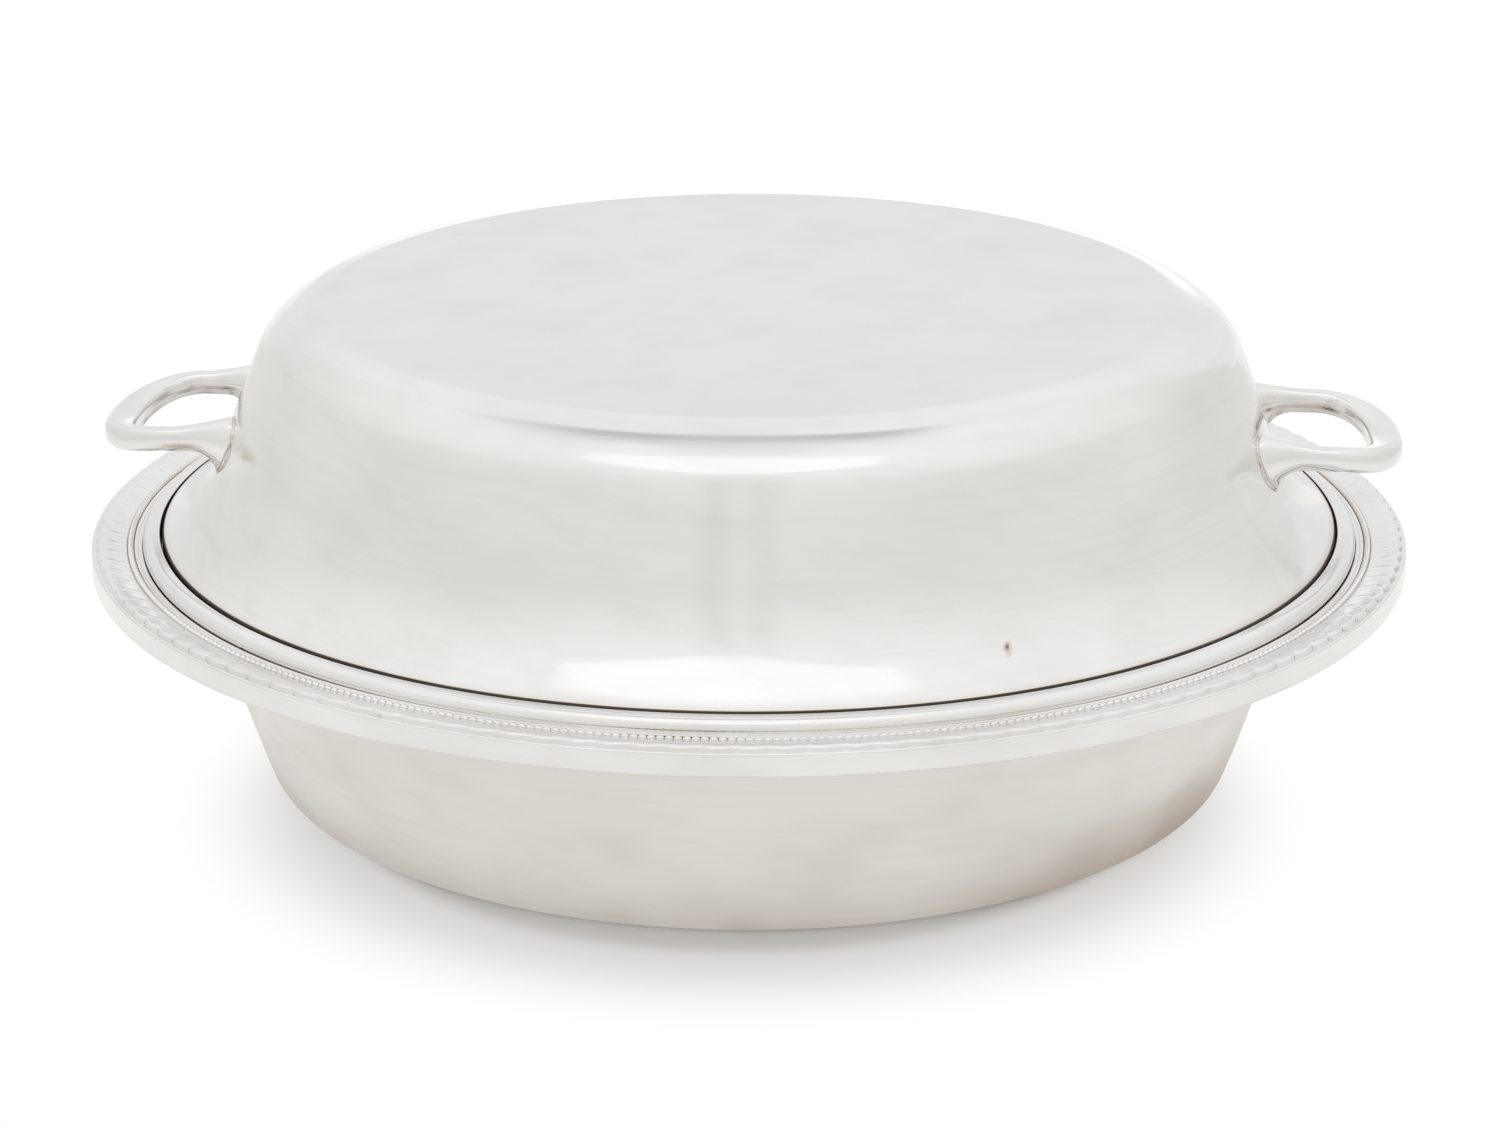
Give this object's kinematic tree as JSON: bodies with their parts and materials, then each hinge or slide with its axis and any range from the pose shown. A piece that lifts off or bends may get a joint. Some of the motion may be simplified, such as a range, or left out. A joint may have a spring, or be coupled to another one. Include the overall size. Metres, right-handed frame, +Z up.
{
  "type": "entree dish",
  "caption": "Round silver entree dish with a flat base, a broad flange with a tongue and bead border, and a lift-off flat-topped cover with a D-shaped handle on each side.",
  "frame": {"origin": "middle of the flat base of the dish, on the surface that it stands on", "axes": "+Z up along the axis of the dish; the two handles of the cover lie along X, the right one towards +X"},
  "size_m": [0.3, 0.3, 0.11],
  "materials": {
    "raised_silver": "hand-polished silver sheet with fine scratches and light tarnish",
    "wire_silver": "polished silver wire, worn soft",
    "struck_silver": "worn struck silver with brown tarnish in the hollows",
    "cast_silver": "cast and polished silver with tarnish in the corners"
  },
  "bodies": {
    "dish": {"dish_bowl": "raised_silver", "dish_edge_roll": "wire_silver", "tongue_border": "struck_silver", "bead_wire": "struck_silver", "reeded_wire": "wire_silver"},
    "cover": {"cover_bowl": "raised_silver", "cover_edge_ring": "wire_silver", "left_handle": "cast_silver", "right_handle": "cast_silver"}
  },
  "joints": [
    {"name": "cover_lift", "type": "slide", "parent": "dish", "child": "cover", "axis": [0, 0, 1], "range_m": [0, 0.15]}
  ]
}
